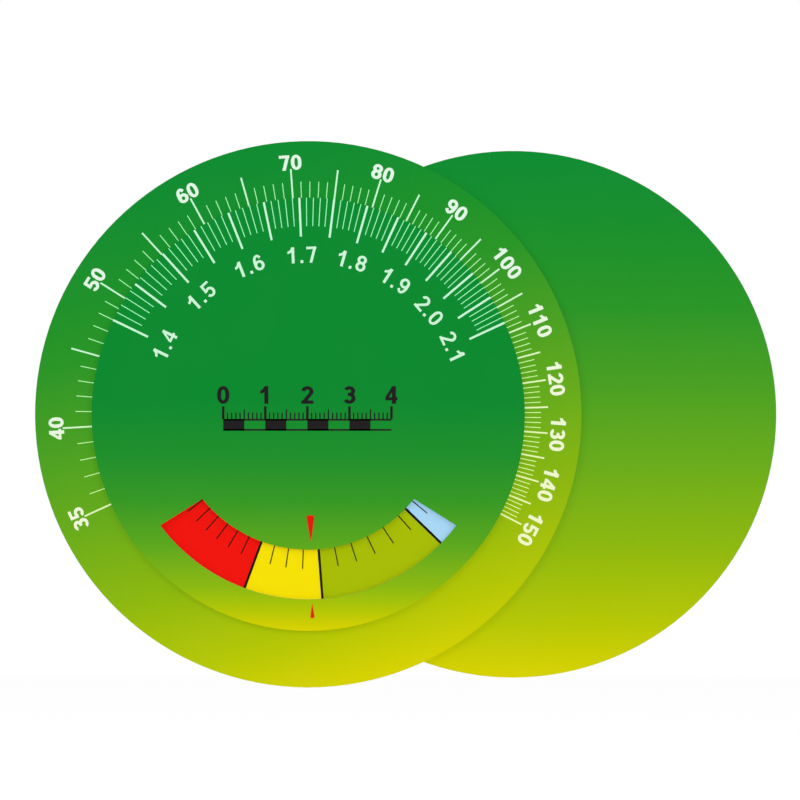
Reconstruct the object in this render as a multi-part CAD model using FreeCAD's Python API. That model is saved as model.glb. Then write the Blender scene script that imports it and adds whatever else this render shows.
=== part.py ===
import FreeCAD, Part
import math
import os

# Body-mass wheel calculator, in millimetres.
# Three laminated plastic discs on two snap rivets: a large disc with a weight scale and an index band,
# a smaller dial with a height scale and a window that turns on it, and a plain cover behind both.
# +Z is up, +X is to the right and the printed front faces -Y. The origin is on the axis of the wheel,
# in the plane of the cover's flat back. A level is a distance in front of that plane.

# Discs
weight_disc_radius = 65.0
weight_margin = 13.5  # ring of the large disc that stays in sight round the dial
height_disc_radius = weight_disc_radius - weight_margin
cover_inset = 2.3  # the cover is this much smaller, so that it hides behind the large disc
cover_radius = weight_disc_radius - cover_inset
cover_offset = 48.7  # the cover's centre stands this far to the right when it is swung out

# Sheets
weight_core = 0.8
height_core = 0.8
cover_core = 0.8
face_sheet = 0.2
ink = 0.03

# Window in the dial, centred at the bottom
window_rim = 7.5  # from the dial's edge to the window
window_height = 11.8
window_outer_half_angle = 53.1
window_inner_half_angle = 51.35
pane_lip = 1.5
pane_lip_thickness = 0.4
pane_clearance = 0.05

# Snap rivets: the hub, and the pivot that the cover swings on
hub_flange_radius = 5.5
hub_barrel_radius = 3.2
hub_stem_radius = 1.8
swing_flange_radius = 4.8
swing_barrel_radius = 2.8
swing_stem_radius = 1.5
flange_thickness = 0.4
cap_thickness = 0.5
cap_sink = 0.05
socket_floor = 0.45
stem_tip_gap = 0.15
barb_height = 0.15  # the stem widens by this much at its crest, and narrows as much at its tip
barb_lead = 0.3  # from the tip to the crest
barb_hold = 0.2  # from the crest to the plain stem
cap_chamfer = 0.15
seat_clearance = 0.02  # between pieces that move together
running_clearance = 0.05  # between a barrel and the disc that turns on it
axial_play = 0.05
disc_gap = 0.15  # air that the rivets leave between two discs, for the ink to pass

# Scales, with angles in degrees clockwise from the top. A value stands at an angle that grows with its
# logarithm. Twice the slope on the height scale makes the dial divide the weight by the height squared.
degrees_per_log = 159.3
weight_first, weight_last = 35, 150
weight_first_angle = -114.5
height_first, height_last = 140, 210  # in hundredths
height_first_angle = -64.2
index_first, index_last = 12, 48
pointer_angle = 178.8
index_limits = (18.5, 24.0, 28.0)
index_zone_names = ("index_zone_low", "index_zone_normal", "index_zone_over", "index_zone_high")

# Graduations
long_weight_tick = 7.0
crowded_weight_tick = 5.6  # long ticks are this short where they are crowded or meet a middle digit
tens_crowded_from, fives_crowded_from = 100, 115
short_weight_tick = 3.85
long_weight_width = 0.4
short_weight_width = 0.2
tick_under_dial = 0.6  # the weight ticks start this far under the dial's edge
long_height_tick = 9.2
short_height_tick = 6.75
long_height_width = 0.5
short_height_width = 0.2
index_tick = 4.6
index_tick_width = 0.26
index_limit_width = 0.58
zone_overlap = 0.7  # the colour fields go this far under the window's edges
inner_pointer_gap = 1.7  # from the window's edge to the pointer's tip
inner_pointer_length = 6.5
inner_pointer_width = 1.9
outer_pointer_gap = 0.85
outer_pointer_length = 3.6
outer_pointer_width = 1.0
pointer_shoulder = 0.2  # the corners of a pointer's base are clipped by this share of its width

# Levels, from the back
cover_core_level = face_sheet
cover_face_level = cover_core_level + cover_core
cover_front = cover_face_level + face_sheet
weight_back_level = cover_front + disc_gap
weight_core_level = weight_back_level + face_sheet
weight_face_level = weight_core_level + weight_core
weight_front = weight_face_level + face_sheet
height_core_level = weight_front + disc_gap
height_face_level = height_core_level + height_core
height_front = height_face_level + face_sheet

window_outer_radius = height_disc_radius - window_rim
window_inner_radius = window_outer_radius - window_height
swing_x = cover_offset / 2


def layer(radius, level, thickness, x=0.0):
    """Round layer whose back lies at the level."""
    return Part.makeCylinder(radius, thickness, FreeCAD.Vector(x, -level, 0), FreeCAD.Vector(0, -1, 0))


def on_dial(radius, angle, level=0.0):
    """Point at an angle in degrees, clockwise from the top."""
    turn = math.radians(angle)
    return FreeCAD.Vector(radius * math.sin(turn), -level, radius * math.cos(turn))


def turned(profile, x):
    """Solid of revolution about the axis at x, from corners given as (radius, level)."""
    corners = [FreeCAD.Vector(x + radius, -level, 0) for radius, level in profile]
    outline = Part.makePolygon(corners + corners[:1])
    return Part.Face(outline).revolve(FreeCAD.Vector(x, 0, 0), FreeCAD.Vector(0, 1, 0), 360)


def snap_rivet(x, back, front, flange_radius, barrel_radius, stem_radius):
    """Front half with flange and barbed stem, and rear half with cap, barrel and grooved socket."""
    shoulder = front - flange_thickness
    floor = back + socket_floor
    tip = floor + stem_tip_gap
    crest = tip + barb_lead
    stem = stem_radius - seat_clearance
    front_half = [(0, tip), (stem - barb_height, tip), (stem + barb_height, crest)]
    front_half += [(stem, crest + barb_hold), (stem, shoulder)]
    front_half += [(flange_radius, shoulder), (flange_radius, front), (0, front)]
    rear_half = [(0, back), (flange_radius - cap_chamfer, back), (flange_radius, back + cap_chamfer)]
    rear_half += [(flange_radius, back + cap_thickness)]
    rear_half += [(barrel_radius, back + cap_thickness), (barrel_radius, shoulder), (stem_radius, shoulder)]
    rear_half += [(stem_radius, crest + barb_hold + seat_clearance), (stem_radius + barb_height, crest)]
    rear_half += [(stem_radius, floor), (0, floor)]
    return turned(front_half, x), turned(rear_half, x)


def window_prism(grow, level, thickness):
    """Curved window outline, grown by the same amount on all four sides, as a prism."""
    inner = window_inner_radius - grow
    outer = window_outer_radius + grow
    low = on_dial(window_inner_radius, 180 - window_inner_half_angle)
    high = on_dial(window_outer_radius, 180 - window_outer_half_angle)
    side = (high - low).normalize()
    outwards = FreeCAD.Vector(-side.z, 0, side.x)
    start = low + outwards * grow
    along = start.dot(side)
    rest = start.dot(start) - along**2
    right_inner = start + side * (math.sqrt(inner**2 - rest) - along)
    right_outer = start + side * (math.sqrt(outer**2 - rest) - along)
    left_inner = FreeCAD.Vector(-right_inner.x, 0, right_inner.z)
    left_outer = FreeCAD.Vector(-right_outer.x, 0, right_outer.z)
    edges = [
        Part.makeLine(right_inner, right_outer),
        Part.Arc(right_outer, FreeCAD.Vector(0, 0, -outer), left_outer).toShape(),
        Part.makeLine(left_outer, left_inner),
        Part.Arc(left_inner, FreeCAD.Vector(0, 0, -inner), right_inner).toShape(),
    ]
    face = Part.Face(Part.Wire(edges))
    face.translate(FreeCAD.Vector(0, -level, 0))
    return face.extrude(FreeCAD.Vector(0, -thickness, 0))


def tick(angle, inner, outer, width, level):
    bar = Part.makeBox(width, ink, outer - inner, FreeCAD.Vector(-width / 2, -level - ink, inner))
    bar.rotate(FreeCAD.Vector(0, 0, 0), FreeCAD.Vector(0, 1, 0), angle)
    return bar


def zone(inner, outer, start, end, level):
    """Ring sector of printed colour between two angles."""
    half = (start + end) / 2
    edges = [
        Part.makeLine(on_dial(inner, start), on_dial(outer, start)),
        Part.Arc(on_dial(outer, start), on_dial(outer, half), on_dial(outer, end)).toShape(),
        Part.makeLine(on_dial(outer, end), on_dial(inner, end)),
        Part.Arc(on_dial(inner, end), on_dial(inner, half), on_dial(inner, start)).toShape(),
    ]
    face = Part.Face(Part.Wire(edges))
    face.translate(FreeCAD.Vector(0, -level, 0))
    return face.extrude(FreeCAD.Vector(0, -ink, 0))


def pointer(tip, length, width, level):
    """Wedge on the pointer's line. The tip is at a radius, and a negative length points away from the hub."""
    base = tip + length
    clip = pointer_shoulder * width
    shoulder = base - math.copysign(clip, length)
    corners = [(0, tip), (width / 2, shoulder), (width / 2 - clip, base)]
    corners += [(clip - width / 2, base), (-width / 2, shoulder)]
    points = [FreeCAD.Vector(across, -level, along) for across, along in corners]
    wedge = Part.Face(Part.makePolygon(points + points[:1])).extrude(FreeCAD.Vector(0, -ink, 0))
    wedge.rotate(FreeCAD.Vector(0, 0, 0), FreeCAD.Vector(0, 1, 0), pointer_angle)
    return wedge


def weight_angle(weight):
    return weight_first_angle + degrees_per_log * math.log(weight / weight_first)


def height_angle(hundredths):
    return height_first_angle + 2 * degrees_per_log * math.log(hundredths / height_first)


def index_angle(index):
    """The pointer stands at the weight that lies beside a height of 1, as both scales have it at rest."""
    return pointer_angle + weight_angle(index) - height_angle(100)


pieces = {}

# Rivets
hub_back = weight_back_level + cap_sink
pieces["hub_rivet"], pieces["hub_cap"] = snap_rivet(
    0, hub_back, height_face_level, hub_flange_radius, hub_barrel_radius, hub_stem_radius
)
pieces["swing_rivet"], pieces["swing_cap"] = snap_rivet(
    swing_x, cap_sink, weight_face_level, swing_flange_radius, swing_barrel_radius, swing_stem_radius
)

# Holes that the rivets need
all_through = height_front
hub_running_hole = layer(hub_barrel_radius + running_clearance, 0, all_through)
hub_seat_hole = layer(hub_barrel_radius + seat_clearance, 0, all_through)
hub_flange_seat = layer(
    hub_flange_radius + seat_clearance, height_face_level - flange_thickness, flange_thickness
)
hub_cap_recess = layer(
    hub_flange_radius + running_clearance,
    weight_back_level,
    cap_sink + cap_thickness + axial_play,
)
swing_running_hole = layer(swing_barrel_radius + running_clearance, 0, all_through, swing_x)
swing_seat_hole = layer(swing_barrel_radius + seat_clearance, 0, all_through, swing_x)
swing_flange_seat = layer(
    swing_flange_radius + seat_clearance,
    weight_face_level - flange_thickness,
    flange_thickness,
    swing_x,
)
swing_cap_recess = layer(
    swing_flange_radius + running_clearance, 0, cap_sink + cap_thickness + axial_play, swing_x
)

# Cover: core between two printed sheets, swung out to the right
for name, level, thickness in (
    ("cover_back", 0, face_sheet),
    ("cover_disc", cover_core_level, cover_core),
    ("cover_face", cover_face_level, face_sheet),
):
    plain = layer(cover_radius, level, thickness, cover_offset)
    pieces[name] = plain.cut([swing_running_hole, swing_cap_recess])

# Large disc: the front sheet hides the flange of the swing rivet
weight_back = layer(weight_disc_radius, weight_back_level, face_sheet)
pieces["weight_back"] = weight_back.cut([hub_running_hole, hub_cap_recess, swing_seat_hole])
weight_disc = layer(weight_disc_radius, weight_core_level, weight_core)
pieces["weight_disc"] = weight_disc.cut(
    [hub_running_hole, hub_cap_recess, swing_seat_hole, swing_flange_seat]
)
weight_face = layer(weight_disc_radius, weight_face_level, face_sheet)
pieces["weight_face"] = weight_face.cut(hub_running_hole)

# Dial: the window goes through core and front sheet, and the pane drops in from behind onto its lip
height_disc = layer(height_disc_radius, height_core_level, height_core)
lip_seat = window_prism(pane_lip, height_core_level, pane_lip_thickness)
window = window_prism(0, height_core_level, height_core + face_sheet)
pieces["height_disc"] = height_disc.cut([hub_seat_hole, hub_flange_seat, lip_seat, window])
height_face = layer(height_disc_radius, height_face_level, face_sheet)
pieces["height_face"] = height_face.cut(window)
pane_flange = window_prism(pane_lip - pane_clearance, height_core_level, pane_lip_thickness)
pane_body = window_prism(-pane_clearance, height_core_level, height_core + face_sheet)
pieces["window_pane"] = pane_flange.fuse(pane_body).removeSplitter()

# Colour fields of the index band, printed on the large disc and seen through the window
zone_inner = window_inner_radius - zone_overlap
zone_outer = window_outer_radius + zone_overlap
zone_ends = [index_angle(index) for index in (index_first, *index_limits, index_last)]
for name, start, end in zip(index_zone_names, zone_ends, zone_ends[1:]):
    pieces[name] = zone(zone_inner, zone_outer, start, end, weight_front)

# Graduations
weight_ticks = []
for weight in range(weight_first, weight_last + 1):
    length, width = short_weight_tick, short_weight_width
    if weight % 5 == 0:
        crowded_from = fives_crowded_from if weight % 10 else tens_crowded_from
        length = crowded_weight_tick if weight >= crowded_from else long_weight_tick
        width = long_weight_width
    inner = height_disc_radius - tick_under_dial
    outer = height_disc_radius + length
    weight_ticks.append(tick(weight_angle(weight), inner, outer, width, weight_front))
pieces["weight_scale"] = Part.makeCompound(weight_ticks)

height_ticks = []
for hundredths in range(height_first, height_last + 1):
    length, width = short_height_tick, short_height_width
    if hundredths % 5 == 0:
        length, width = long_height_tick, long_height_width
    inner = height_disc_radius - length
    height_ticks.append(tick(height_angle(hundredths), inner, height_disc_radius, width, height_front))
pieces["height_scale"] = Part.makeCompound(height_ticks)

index_ticks = []
for index in range(index_first + 1, index_last):
    if index not in index_limits:
        outer = window_inner_radius + index_tick
        index_ticks.append(tick(index_angle(index), zone_inner, outer, index_tick_width, weight_front + ink))
for index in index_limits:
    index_ticks.append(tick(index_angle(index), zone_inner, zone_outer, index_limit_width, weight_front + ink))
pieces["index_scale"] = Part.makeCompound(index_ticks)

# Red pointers above and below the window
inner_tip = window_inner_radius - inner_pointer_gap
outer_tip = window_outer_radius + outer_pointer_gap
pieces["reading_pointers"] = Part.makeCompound([
    pointer(inner_tip, -inner_pointer_length, inner_pointer_width, height_front),
    pointer(outer_tip, outer_pointer_length, outer_pointer_width, height_front),
])

os.makedirs("parts", exist_ok=True)
for name, piece in pieces.items():
    piece.exportStep(f"parts/{name}.step")
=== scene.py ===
import math
from collections import namedtuple

import bmesh
import bpy
from mathutils import Matrix, Vector


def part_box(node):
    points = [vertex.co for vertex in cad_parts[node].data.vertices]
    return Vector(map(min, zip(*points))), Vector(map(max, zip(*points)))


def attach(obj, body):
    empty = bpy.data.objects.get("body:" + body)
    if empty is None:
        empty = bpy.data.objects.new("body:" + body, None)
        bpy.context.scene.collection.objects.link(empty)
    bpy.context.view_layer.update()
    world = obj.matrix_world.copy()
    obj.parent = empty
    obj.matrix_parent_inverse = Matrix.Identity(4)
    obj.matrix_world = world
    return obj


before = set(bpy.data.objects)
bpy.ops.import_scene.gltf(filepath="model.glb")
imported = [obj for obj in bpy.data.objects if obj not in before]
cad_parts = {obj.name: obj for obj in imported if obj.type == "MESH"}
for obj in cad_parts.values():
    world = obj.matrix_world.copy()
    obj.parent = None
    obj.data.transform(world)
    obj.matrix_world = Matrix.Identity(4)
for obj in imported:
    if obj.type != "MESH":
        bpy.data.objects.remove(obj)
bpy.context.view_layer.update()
mm = 0.001

# Camera. It looks straight at the printed front, so that the discs stay round, and from well away, so
# that their depth hardly shows. The view is 190 mm wide at the large disc, and its middle lies between
# the wheel and the cover.
view_width = 190.3 * mm
view_middle = Vector((21.82 * mm, 0, 3.4 * mm))
camera_distance = 1.6
print_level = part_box("weight_face")[0].y
bpy.ops.object.camera_add(
    location=(view_middle.x, print_level - camera_distance, view_middle.z), rotation=(math.pi / 2, 0, 0)
)
camera = bpy.context.object
camera.data.lens = camera.data.sensor_width * camera_distance / view_width
bpy.context.scene.camera = camera

# Studio. The wheel is held upright over a round white table, in a room whose white walls light it from
# all around. Only the wall behind the camera is dark, so that the glossy prints send no light straight
# back. The camera itself, also through glass, sees pure white walls, and the table glows to match them.
table_level = -105 * mm
table_radius = 0.6
table_edge = -0.15
table_corners = 96
table_colour = (0.85, 0.85, 0.85, 1)
table_roughness = 0.9
table_glow = 0.45
white = (1, 1, 1, 1)
wall_light = 0.62
dark_wall = 0.03
dark_until, white_from = -0.94, -0.82
fill_strength = 1.24
bpy.context.scene.view_settings.view_transform = "Standard"
world = bpy.data.worlds.new("studio")
world.use_nodes = True
bpy.context.scene.world = world
background = world.node_tree.nodes["Background"]
background.inputs["Color"].default_value = white


def maths(tree, operation, *values, clamp=False):
    """Output of a math node on up to three values, each a number or the output of a node."""
    node = tree.nodes.new("ShaderNodeMath")
    node.operation = operation
    node.use_clamp = clamp
    for socket, value in zip(node.inputs, values):
        if isinstance(value, bpy.types.NodeSocket):
            tree.links.new(value, socket)
        else:
            socket.default_value = value
    return node.outputs[0]


def ranged(tree, value, given, wanted):
    """Output that takes a value from the given range to the wanted one, and never past its ends."""
    node = tree.nodes.new("ShaderNodeMapRange")
    for name, limit in zip(("From Min", "From Max", "To Min", "To Max"), (*given, *wanted)):
        node.inputs[name].default_value = limit
    tree.links.new(value, node.inputs["Value"])
    return node.outputs["Result"]


def seen_by(tree, *kinds):
    """Output that is 1 for these kinds of rays and 0 for the others."""
    rays = tree.nodes.new("ShaderNodeLightPath")
    seen = 0
    for kind in kinds:
        seen = maths(tree, "ADD", seen, rays.outputs[kind], clamp=True)
    return seen


tree = world.node_tree
direction = tree.nodes.new("ShaderNodeTexCoord")
depth = tree.nodes.new("ShaderNodeSeparateXYZ")
tree.links.new(direction.outputs["Generated"], depth.inputs["Vector"])
room = ranged(tree, depth.outputs["Y"], (dark_until, white_from), (dark_wall, wall_light))
strength = tree.nodes.new("ShaderNodeMix")
strength.inputs["B"].default_value = 1
tree.links.new(seen_by(tree, "Is Camera Ray", "Is Transmission Ray"), strength.inputs["Factor"])
tree.links.new(room, strength.inputs["A"])
tree.links.new(strength.outputs["Result"], background.inputs["Strength"])

table_middle = 0, table_edge + table_radius, table_level
bpy.ops.mesh.primitive_circle_add(
    vertices=table_corners, radius=table_radius, fill_type="NGON", location=table_middle
)
table = bpy.context.object
table.name = "table"
table_top = bpy.data.materials.new("table_top")
table_top.use_nodes = True
tree = table_top.node_tree
shader = tree.nodes["Principled BSDF"]
shader.inputs["Base Color"].default_value = table_colour
shader.inputs["Roughness"].default_value = table_roughness
shader.inputs["Specular IOR Level"].default_value = 0
shader.inputs["Emission Color"].default_value = white
seen = seen_by(tree, "Is Camera Ray", "Is Glossy Ray", "Is Transmission Ray")
tree.links.new(maths(tree, "MULTIPLY", seen, table_glow), shader.inputs["Emission Strength"])
table.data.materials.append(table_top)


def softbox(name, place, size, watts):
    """Square lamp that points at the middle of the wheel."""
    bpy.ops.object.light_add(type="AREA", location=place)
    lamp = bpy.context.object
    lamp.name = name
    lamp.rotation_euler = (view_middle - Vector(place)).to_track_quat("-Z", "Y").to_euler()
    lamp.data.size = size
    lamp.data.energy = watts


def fill(name, turn):
    """Parallel light square to the discs, which thins the shadows at their edges and isn't mirrored."""
    bpy.ops.object.light_add(type="SUN", rotation=(turn, 0, 0))
    lamp = bpy.context.object
    lamp.name = name
    lamp.data.energy = fill_strength
    lamp.data.angle = 0
    lamp.visible_glossy = False


softbox("front_left_softbox", place=(-0.8, -1.0, 0.7), size=0.8, watts=2.5)
softbox("front_right_softbox", place=(0.9, -1.0, 0.4), size=0.8, watts=2)
fill("front_fill", turn=math.pi / 2)
fill("rear_fill", turn=-math.pi / 2)

# Cores of the three discs, die-cut from white PVC sheet 0.8 mm thick.
# Only their cut edges show, which the die leaves a little rough.
core_white = (236, 237, 232)
grain_detail = 3


def linear(colour):
    """Colour for a shader, from red, green and blue as they look on a screen, 0 to 255."""
    values = [value / 255 for value in colour]
    bright = [v / 12.92 if v <= 0.04045 else ((v + 0.055) / 1.055) ** 2.4 for v in values]
    return (*bright, 1)


def plastic(name, colour, roughness, gloss=0.5):
    """Material of one colour."""
    material = bpy.data.materials.new(name)
    material.use_nodes = True
    shader = material.node_tree.nodes["Principled BSDF"]
    shader.inputs["Base Color"].default_value = linear(colour)
    shader.inputs["Roughness"].default_value = roughness
    shader.inputs["Specular IOR Level"].default_value = gloss
    return material


def grain(material, size, height, stretch=(1, 1, 1)):
    """Gives the surface fine bumps, so wide and so high. A stretch under 1 draws them out along its axis."""
    nodes, links = material.node_tree.nodes, material.node_tree.links
    place = nodes.new("ShaderNodeTexCoord")
    spread = nodes.new("ShaderNodeMapping")
    spread.inputs["Scale"].default_value = [share / size for share in stretch]
    noise = nodes.new("ShaderNodeTexNoise")
    noise.inputs["Scale"].default_value = 1
    noise.inputs["Detail"].default_value = grain_detail
    bump = nodes.new("ShaderNodeBump")
    bump.inputs["Distance"].default_value = height
    links.new(place.outputs["Object"], spread.inputs["Vector"])
    links.new(spread.outputs["Vector"], noise.inputs["Vector"])
    links.new(noise.outputs["Fac"], bump.inputs["Height"])
    links.new(bump.outputs["Normal"], nodes["Principled BSDF"].inputs["Normal"])


def dress(node, material):
    """Gives a node of the frame its material."""
    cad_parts[node].material_slots[0].material = material


white_core = plastic("white_core", core_white, roughness=0.5)
grain(white_core, size=0.3 * mm, height=0.01 * mm, stretch=(1, 0.2, 1))
for node in ("weight_disc", "height_disc", "cover_disc"):
    dress(node, white_core)

# Printed sheets. The discs are faced with thin PVC sheet, front and back, the dial in front only. It is
# printed green to yellow under clear film, and is cut together with the core, so its edges are white too.
laminate_gloss = 0.3
laminate_roughness = 0.16, 0.26
smudge_size = 15 * mm
smudge_limits = 0.35, 0.65
wheel_yellow_end, dial_yellow_end, cover_yellow_end = 165, 180, 180
wheel_ramp = [
    (0.0, (12, 140, 50)),
    (0.1, (22, 142, 47)),
    (0.2, (31, 146, 41)),
    (0.3, (43, 150, 39)),
    (0.45, (75, 161, 34)),
    (0.6, (107, 173, 26)),
    (0.75, (142, 185, 13)),
    (0.9, (184, 200, 2)),
    (1.0, (217, 211, 0)),
]
dial_ramp = [
    (0.0, (11, 138, 49)),
    (0.47, (13, 138, 48)),
    (0.6, (32, 144, 44)),
    (0.7, (55, 153, 37)),
    (0.8, (91, 168, 30)),
    (0.9, (141, 186, 16)),
    (0.95, (178, 198, 3)),
    (1.0, (219, 211, 0)),
]


def blend(material, centre, radius, yellow_end, ramp):
    """Output of a node with the ramp's colour, which runs across a disc from its green to its yellow end.

    The yellow end is an angle in degrees, clockwise from the top.
    """
    nodes, links = material.node_tree.nodes, material.node_tree.links
    place = nodes.new("ShaderNodeTexCoord")
    across = nodes.new("ShaderNodeMapping")
    turn = math.radians(90 - yellow_end)
    from_centre = Matrix.Rotation(turn, 3, "Y") @ Vector(centre) / (2 * radius)
    across.inputs["Scale"].default_value = [1 / (2 * radius)] * 3
    across.inputs["Rotation"].default_value = (0, turn, 0)
    across.inputs["Location"].default_value = Vector((0.5, 0, 0)) - from_centre
    gradient = nodes.new("ShaderNodeTexGradient")
    colours = nodes.new("ShaderNodeValToRGB")
    while len(colours.color_ramp.elements) < len(ramp):
        colours.color_ramp.elements.new(1)
    for stop, (position, colour) in zip(colours.color_ramp.elements, ramp):
        stop.position = position
        stop.color = linear(colour)
    links.new(place.outputs["Object"], across.inputs["Vector"])
    links.new(across.outputs["Vector"], gradient.inputs["Vector"])
    links.new(gradient.outputs["Fac"], colours.inputs["Fac"])
    return colours.outputs["Color"]


def printed_sheet(name, centre, radius, yellow_end, ramp):
    """Film-covered print on a disc, with white cut edges."""
    material = plastic(name, core_white, laminate_roughness[0], laminate_gloss)
    tree = material.node_tree
    shader = tree.nodes["Principled BSDF"]
    facing = tree.nodes.new("ShaderNodeNewGeometry")
    normal = tree.nodes.new("ShaderNodeSeparateXYZ")
    edge_or_face = tree.nodes.new("ShaderNodeMix")
    edge_or_face.data_type = "RGBA"
    edge_or_face.inputs["A"].default_value = linear(core_white)
    tree.links.new(facing.outputs["True Normal"], normal.inputs["Vector"])
    tree.links.new(maths(tree, "ABSOLUTE", normal.outputs["Y"]), edge_or_face.inputs["Factor"])
    tree.links.new(blend(material, centre, radius, yellow_end, ramp), edge_or_face.inputs["B"])
    tree.links.new(edge_or_face.outputs["Result"], shader.inputs["Base Color"])
    place = tree.nodes.new("ShaderNodeTexCoord")
    smudges = tree.nodes.new("ShaderNodeTexNoise")
    smudges.inputs["Scale"].default_value = 1 / smudge_size
    tree.links.new(place.outputs["Object"], smudges.inputs["Vector"])
    handled = ranged(tree, smudges.outputs["Fac"], smudge_limits, laminate_roughness)
    tree.links.new(handled, shader.inputs["Roughness"])
    grain(material, size=2.5 * mm, height=0.004 * mm)
    return material


def middle_of(node):
    """Middle of a node's box, and half its width."""
    low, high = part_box(node)
    return (low + high) / 2, (high.x - low.x) / 2


wheel_centre, wheel_radius = middle_of("weight_face")
dial_centre, dial_radius = middle_of("height_face")
cover_centre, cover_radius = middle_of("cover_face")
wheel_print = printed_sheet("wheel_print", wheel_centre, wheel_radius, wheel_yellow_end, wheel_ramp)
dial_print = printed_sheet("dial_print", dial_centre, dial_radius, dial_yellow_end, dial_ramp)
cover_print = printed_sheet("cover_print", cover_centre, cover_radius, cover_yellow_end, wheel_ramp)
for node in ("weight_face", "weight_back"):
    dress(node, wheel_print)
for node in ("cover_face", "cover_back"):
    dress(node, cover_print)
dress("height_face", dial_print)

# Printed inks. The scales, the four fields of the index band and the pointers are screen-printed on
# the sheets in solid inks, which stand up a few hundredths of a millimetre. The white lets a little of
# the print through, least in the numbers, more in the long lines and most in the short ones.
Law = namedtuple("Law", "first first_angle degrees_per_log step")
weight_law = Law(first=35, first_angle=-114.5, degrees_per_log=159.3, step=5)
height_law = Law(first=1.4, first_angle=-64.2, degrees_per_log=2 * weight_law.degrees_per_log, step=0.05)
half_step = 0.5
long_line_reach = 0.1
ink_roughness, ink_gloss = 0.35, 0.15
short_tints = [
    (0.2, (165, 255, 178)),
    (0.35, (185, 255, 173)),
    (0.55, (211, 255, 157)),
    (0.75, (233, 255, 150)),
]
long_tints = [
    (0.0, (194, 251, 210)),
    (0.3, (198, 251, 207)),
    (0.6, (231, 249, 177)),
    (1.0, (247, 248, 155)),
]
dial_short_tints = [(0.0, (156, 255, 189)), (1.0, (156, 255, 189))]
dial_long_tints = [(0.0, (197, 250, 214)), (1.0, (197, 250, 214))]


def ink(name, colour):
    """Solid screen ink, duller than the film, which takes a little of the mesh's texture."""
    material = plastic(name, colour, ink_roughness, ink_gloss)
    grain(material, size=0.2 * mm, height=0.002 * mm)
    return material


def on_wheel(material, ramp):
    """Output of a node with the ramp's colour, which runs across the large disc as its print does."""
    return blend(material, wheel_centre, wheel_radius, wheel_yellow_end, ramp)


def on_long_lines(tree, law):
    """Output that is 1 on a scale's long lines, which stand a step apart, and 0 elsewhere.

    The law says that the angle grows with the logarithm of the value, from the first value's angle on. So
    the angle of a place gives a value, and the value how far it is off a whole step.
    """
    place = tree.nodes.new("ShaderNodeTexCoord")
    apart = tree.nodes.new("ShaderNodeSeparateXYZ")
    tree.links.new(place.outputs["Object"], apart.inputs["Vector"])
    angle = maths(tree, "ARCTAN2", apart.outputs["X"], apart.outputs["Z"])
    start = math.log(law.first / law.step) - law.first_angle / law.degrees_per_log
    logarithm = maths(tree, "MULTIPLY_ADD", angle, math.degrees(1) / law.degrees_per_log, start)
    steps = maths(tree, "EXPONENT", logarithm)
    off = maths(tree, "PINGPONG", steps, half_step)
    return maths(tree, "LESS_THAN", off, long_line_reach)


def line_print(name, law, short_ramp, long_ramp):
    """White ink of a scale's lines, tinted along one ramp on the short ones and along another on the long."""
    material = ink(name, core_white)
    tree = material.node_tree
    short_or_long = tree.nodes.new("ShaderNodeMix")
    short_or_long.data_type = "RGBA"
    tree.links.new(on_wheel(material, short_ramp), short_or_long.inputs["A"])
    tree.links.new(on_wheel(material, long_ramp), short_or_long.inputs["B"])
    tree.links.new(on_long_lines(tree, law), short_or_long.inputs["Factor"])
    tree.links.new(short_or_long.outputs["Result"], tree.nodes["Principled BSDF"].inputs["Base Color"])
    return material


for node, material in (
    ("weight_scale", line_print("white_lines", weight_law, short_tints, long_tints)),
    ("height_scale", line_print("dial_white_lines", height_law, dial_short_tints, dial_long_tints)),
    ("index_scale", ink("index_black", (24, 20, 8))),
    # The four index fields lie in the window's recess under the pane. Their inks are written lighter than the
    # real ones: painted light that makes up for the shade there.
    ("index_zone_low", ink("low_blue", (177, 224, 255))),
    ("index_zone_normal", ink("normal_olive", (175, 196, 0))),
    ("index_zone_over", ink("over_yellow", (255, 233, 0))),
    ("index_zone_high", ink("high_red", (249, 20, 10))),
    ("reading_pointers", ink("pointer_red", (224, 28, 14))),
):
    dress(node, material)

# Window pane, cut from clear polished acrylic. Its lip is clamped between dial and wheel.
# It shows as a faint gloss over the index band, and leaves the colours behind it as they are.
acrylic_tint = (0.995, 0.998, 0.996, 1)
acrylic_ior = 1.49
acrylic_roughness = 0.04
clear_acrylic = bpy.data.materials.new("clear_acrylic")
clear_acrylic.use_nodes = True
tree = clear_acrylic.node_tree
tree.nodes.remove(tree.nodes["Principled BSDF"])
through = tree.nodes.new("ShaderNodeBsdfTransparent")
through.inputs["Color"].default_value = acrylic_tint
polish = tree.nodes.new("ShaderNodeBsdfGlossy")
polish.inputs["Roughness"].default_value = acrylic_roughness
mirror = tree.nodes.new("ShaderNodeFresnel")
mirror.inputs["IOR"].default_value = acrylic_ior
side = tree.nodes.new("ShaderNodeNewGeometry")
front_only = maths(tree, "SUBTRACT", mirror.outputs["Fac"], side.outputs["Backfacing"], clamp=True)
both = tree.nodes.new("ShaderNodeMixShader")
tree.links.new(front_only, both.inputs["Fac"])
tree.links.new(through.outputs["BSDF"], both.inputs[1])
tree.links.new(polish.outputs["BSDF"], both.inputs[2])
tree.links.new(both.outputs["Shader"], tree.nodes["Material Output"].inputs["Surface"])
dress("window_pane", clear_acrylic)

# Snap rivets, moulded from white plastic: a flanged stem with a barb that snaps into a capped barrel.
# The caps are sunk in the backs of the large disc and the cover, and only the cover's shows.
rivet_white = (232, 234, 230)
rivet_plastic = plastic("rivet_plastic", rivet_white, roughness=0.28)
grain(rivet_plastic, size=1.2 * mm, height=0.01 * mm)
for node in ("hub_rivet", "hub_cap", "swing_rivet", "swing_cap"):
    dress(node, rivet_plastic)

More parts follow.
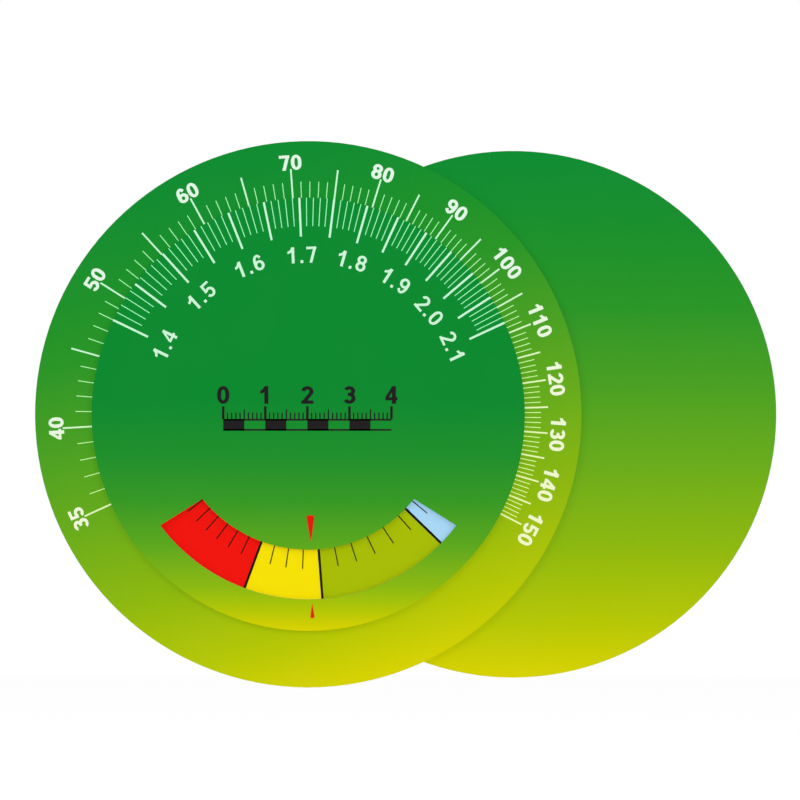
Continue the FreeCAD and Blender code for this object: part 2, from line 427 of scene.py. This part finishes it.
# Numbers of the weight scale, screen-printed in white on the large disc, each upright over its line and
# those of three digits a little further in. The digits are plain bold sans-serif ones, of straight and
# curved strokes run together. Sizes within a digit are shares of its height.
weights = (35, *range(40, 151, 10))
weight_height = 3.6 * mm
weight_baseline = 58.2 * mm
three_digit_baseline = 57.7 * mm
number_tints = [
    (0.0, (223, 247, 227)),
    (0.3, (224, 247, 227)),
    (0.55, (238, 248, 214)),
    (0.8, (242, 248, 196)),
]
arc_step = 7.5
beyond = 0.1
hair = 0.001
flat_within = math.radians(0.5)


def thick(stroke):
    """Applies the stroke's place and turns it from a flat face into a slab one unit thick."""
    bpy.ops.object.mode_set(mode="OBJECT")
    bpy.ops.object.transform_apply(location=True, rotation=True, scale=True)
    bpy.ops.object.mode_set(mode="EDIT")
    bpy.ops.mesh.select_all(action="SELECT")
    bpy.ops.mesh.extrude_region_move(TRANSFORM_OT_translate={"value": (0, 0, 1)})
    bpy.ops.mesh.select_all(action="SELECT")
    bpy.ops.mesh.normals_make_consistent(inside=False)
    bpy.ops.object.mode_set(mode="OBJECT")
    return stroke


def straight(start, end, thickness):
    """Straight stroke between two points, with square ends."""
    bpy.ops.object.select_all(action="DESELECT")
    start, end = Vector((*start, 0)), Vector((*end, 0))
    along = end - start
    slope = math.atan2(along.y, along.x)
    bpy.ops.mesh.primitive_plane_add(size=1, location=(start + end) / 2, rotation=(0, 0, slope))
    bpy.context.object.scale = (along.length, thickness, 1)
    return thick(bpy.context.object)


def curved(centre, radii, first, last, pen):
    """Part of an oval ring from one angle to another, in degrees, anticlockwise from the right.

    The pen is the ring's thickness at its sides and at its top.
    """
    bpy.ops.object.select_all(action="DESELECT")
    across, up = radii
    side, top = pen
    outer = Vector((across + side / 2, up + top / 2, 1))
    narrower = ((across - side / 2) / outer.x, (up - top / 2) / outer.y, 1)
    bpy.ops.mesh.primitive_circle_add(vertices=round(360 / arc_step), radius=1, enter_editmode=True)
    stroke = bpy.context.object
    bpy.ops.transform.resize(value=outer, center_override=(0, 0, 0))
    bpy.ops.mesh.extrude_edges_move()
    bpy.ops.transform.resize(value=narrower, center_override=(0, 0, 0))
    bpy.ops.mesh.select_mode(type="FACE")
    ring = bmesh.from_edit_mesh(stroke.data)
    for face in ring.faces:
        middle = face.calc_center_median()
        angle = math.degrees(math.atan2(middle.y / up, middle.x / across))
        face.select_set((angle - first) % 360 > last - first)
    bmesh.update_edit_mesh(stroke.data)
    bpy.ops.mesh.delete(type="FACE")
    stroke.location = (*centre, 0)
    return thick(stroke)


def run_together(strokes):
    """One solid from overlapping strokes, cut level a hair below the foot and a hair above the top.

    There the cuts meet only the strokes that go beyond, and not the level faces in which others end.
    """
    whole, *others = strokes
    bpy.ops.object.select_all(action="DESELECT")
    bpy.context.view_layer.objects.active = whole
    whole.select_set(True)
    for other in others:
        union = whole.modifiers.new("union", "BOOLEAN")
        union.operation = "UNION"
        union.solver = "EXACT"
        union.object = other
        bpy.ops.object.modifier_apply(modifier=union.name)
        bpy.data.objects.remove(other)
    bpy.ops.object.mode_set(mode="EDIT")
    for level, up in ((-hair, 1), (1 + hair, -1)):
        bpy.ops.mesh.select_all(action="SELECT")
        bpy.ops.mesh.bisect(plane_co=(0, level, 0), plane_no=(0, up, 0), use_fill=True, clear_inner=True)
    bpy.ops.mesh.select_all(action="SELECT")
    bpy.ops.mesh.remove_doubles(threshold=hair)
    bpy.ops.mesh.dissolve_limited(angle_limit=flat_within)
    bpy.ops.mesh.dissolve_degenerate(threshold=hair)
    bpy.ops.object.mode_set(mode="OBJECT")
    return whole


def digit(figure, width, pen):
    """One digit, a unit high and a unit thick, with its foot on the X axis.

    The pen is the thickness of its upright and of its level strokes. The lines down the middle of these
    strokes lie at left and right, low and high. The 3 and the 8 have a waist, with a narrower bowl above it
    and a wider one below.
    """
    side, top = pen
    left, right, low, high = side / 2, width - side / 2, top / 2, 1 - top / 2
    middle = width / 2
    reach = middle - left
    waist = 0.53
    upper, upper_reach = (high - waist) / 2, reach * 0.92
    lower = (waist - low) / 2
    if figure == ".":
        strokes = [straight((0, left), (side, left), side)]
    elif figure == "0":
        end, seam = 0.33, 0.01
        strokes = [
            curved((middle, high - end), (reach, end), 0, 180, pen),
            curved((middle, low + end), (reach, end), 180, 360, pen),
        ]
        for at in (left, right):
            strokes.append(straight((at, low + end - seam), (at, high - end + seam), side))
    elif figure == "1":
        stem = width * 0.75 - left
        flag = left / 2
        strokes = [
            straight((stem, -beyond), (stem, 1 + beyond), side),
            curved((flag, 1.13), (stem - flag, 0.46), -90, 0, (side * 0.9, top)),
        ]
    elif figure == "2":
        bowl = (high - 0.48) / 2
        turn = -37.5
        centre = (middle, high - bowl)
        bend = math.radians(turn)
        shoulder = (middle + reach * math.cos(bend), high - bowl + bowl * math.sin(bend))
        strokes = [
            curved(centre, (reach, bowl), turn, 172.5, pen),
            straight(shoulder, (left * 1.2, low), side * 0.9),
            straight((0, low), (width, low), top),
        ]
    elif figure == "3":
        strokes = [
            curved((middle, high - upper), (upper_reach, upper), -90 - arc_step, 157.5, pen),
            curved((middle, low + lower), (reach, lower), -157.5, 90 + arc_step, pen),
            straight((middle * 0.75, waist), (middle * 1.1, waist), top * 0.98),
        ]
    elif figure == "4":
        stem = width * 0.7
        bar = 0.285
        strokes = [
            straight((stem, -beyond), (stem, 1), side),
            straight((0, bar), (width, bar), top * 0.95),
            straight((width * 0.11, bar + 0.06), (width * 0.76, 1.05), side * 0.75),
        ]
    elif figure == "5":
        bowl = (0.64 - top) / 2
        strokes = [
            curved((middle, low + bowl), (reach, bowl), -157.5, 142.5, pen),
            straight((left * 1.1, 0.42), (left * 1.35, 1), side * 0.85),
            straight((left * 0.5, high), (width * 0.95, high), top),
        ]
    elif figure in "69":
        bowl = (0.63 - top) / 2
        strokes = [
            curved((middle, low + bowl), (reach, bowl), 0, 360, pen),
            curved((middle, 0.5), (reach, 0.5 - low), 37.5, 180, pen),
            straight((left, 0.51), (left, low + bowl), side),
        ]
    elif figure == "7":
        strokes = [
            straight((0, high), (width, high), top),
            straight((width * 0.36, -beyond), (right - 0.01, high), side * 0.95),
        ]
    elif figure == "8":
        strokes = [
            curved((middle, high - upper), (upper_reach, upper), 0, 360, pen),
            curved((middle, low + lower), (reach, lower), 0, 360, pen),
        ]
    whole = run_together(strokes)
    if figure == "9":
        turned = Matrix.Translation((middle, 0.5, 0)) @ Matrix.Rotation(math.pi, 4, "Z")
        whole.data.transform(turned @ Matrix.Translation((-middle, -0.5, 0)))
    return whole


def digit_set(width, cell, pen):
    """Ten digits and the point: the mesh of each, the room it takes in a row and the margin before it."""
    digits = {}
    for figure in "0123456789.":
        shape = digit(figure, width, pen)
        mesh = shape.data
        bpy.data.objects.remove(shape)
        room, body = (cell / 2, pen[0]) if figure == "." else (cell, width)
        digits[figure] = mesh, room, (room - body) / 2
    return digits


def number(text, digits, place):
    """Row of digits about the middle of its foot, at the place that the matrix gives."""
    at = -sum(digits[figure][1] for figure in text) / 2
    row = []
    for figure in text:
        mesh, room, margin = digits[figure]
        shape = bpy.data.objects.new(figure, mesh.copy())
        bpy.context.scene.collection.objects.link(shape)
        shape.data.transform(place @ Matrix.Translation((at + margin, 0, 0)))
        row.append(shape)
        at += room
    return row


def joined(name, shapes, material, body):
    """One piece from many shapes, riding on a body."""
    bpy.ops.object.select_all(action="DESELECT")
    for shape in shapes:
        shape.select_set(True)
    bpy.context.view_layer.objects.active = shapes[0]
    bpy.ops.object.join()
    piece = bpy.context.object
    piece.name = name
    piece.data.materials.clear()
    piece.data.materials.append(material)
    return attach(piece, body)


def on_face(angle, baseline, level, height, thickness):
    """Matrix that takes a flat digit to its place on a printed face, with its top outwards."""
    upright = Matrix.Rotation(math.pi / 2, 4, "X") @ Matrix.Diagonal((height, height, thickness, 1))
    return Matrix.Rotation(math.radians(angle), 4, "Y") @ Matrix.Translation((0, level, baseline)) @ upright


def angle_of(value, law):
    """Angle at which a value stands on its scale, in degrees, clockwise from the top."""
    return law.first_angle + law.degrees_per_log * math.log(value / law.first)


white_ink = ink("white_ink", core_white)
tree = white_ink.node_tree
tree.links.new(on_wheel(white_ink, number_tints), tree.nodes["Principled BSDF"].inputs["Base Color"])
ink_front, wheel_face = (corner.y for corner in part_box("weight_scale"))
ink_thickness = wheel_face - ink_front
bold = digit_set(width=0.69, cell=0.777, pen=(0.23, 0.19))
shapes = []
for weight in weights:
    baseline = three_digit_baseline if weight >= 100 else weight_baseline
    place = on_face(angle_of(weight, weight_law), baseline, wheel_face, weight_height, ink_thickness)
    shapes += number(str(weight), bold, place)
joined("weight_numbers", shapes, white_ink, "wheel")

# Numbers of the height scale, in metres with one decimal, printed in white under the dial's long lines.
# They are a little larger than the weights, with a thinner pen and more room between the digits.
heights = [tenths / 10 for tenths in range(14, 22)]
height_height = 3.8 * mm
height_baseline = 36.0 * mm
dial_white_ink = ink("dial_white_ink", (203, 246, 214))
dial_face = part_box("height_scale")[1].y
light = digit_set(width=0.63, cell=0.82, pen=(0.175, 0.15))
shapes = []
for height in heights:
    place = on_face(angle_of(height, height_law), height_baseline, dial_face, height_height, ink_thickness)
    shapes += number(f"{height:.1f}", light, place)
joined("height_numbers", shapes, dial_white_ink, "dial")

# Centimetre rule, printed in black across the middle of the dial. It has a bar of alternating blocks,
# a line for each millimetre and plain numbers. Its sizes are given in millimetres.
rule_length = 40
rule_left, rule_foot = -20.2, -3.9
centimetre, block_length = 10, 5
bar_height, rail_height = 2.8, 0.4
short_line, middle_line, long_line = 1.5, 2.3, 3
thin_line, thick_line = 0.3, 0.6
rule_digit_height, rule_digit_lift = 4.2, 3.6
rule_ink = ink("rule_black", (33, 30, 32))


def block(left, foot, width, height):
    """Flat rectangle of ink on the dial, from its lower left corner, in millimetres."""
    bpy.ops.object.select_all(action="DESELECT")
    middle = Vector((left + width / 2, 0, foot + height / 2)) * mm
    middle.y = dial_face - ink_thickness / 2
    bpy.ops.mesh.primitive_cube_add(size=1, location=middle)
    shape = bpy.context.object
    shape.scale = (width * mm, ink_thickness, height * mm)
    bpy.ops.object.transform_apply(location=True, rotation=True, scale=True)
    return shape


bar_top = rule_foot + bar_height
shapes = [block(rule_left, foot, rule_length, rail_height) for foot in (rule_foot, bar_top - rail_height)]
for at in range(rule_length + 1):
    width, height = thin_line, short_line
    if at % block_length == 0:
        height = middle_line
    if at % centimetre == 0:
        width, height = thick_line, long_line
    shapes.append(block(rule_left + at - width / 2, bar_top, width, height))
for at in range(0, rule_length, centimetre):
    shapes.append(block(rule_left + at, rule_foot, block_length, bar_height))
for at in range(0, rule_length + 1, centimetre):
    foot = Matrix.Translation(((rule_left + at) * mm, 0, (bar_top + rule_digit_lift) * mm))
    upright = on_face(0, 0, dial_face, rule_digit_height * mm, ink_thickness)
    shapes += number(str(at // centimetre), bold, foot @ upright)
joined("centimetre_rule", shapes, rule_ink, "dial")
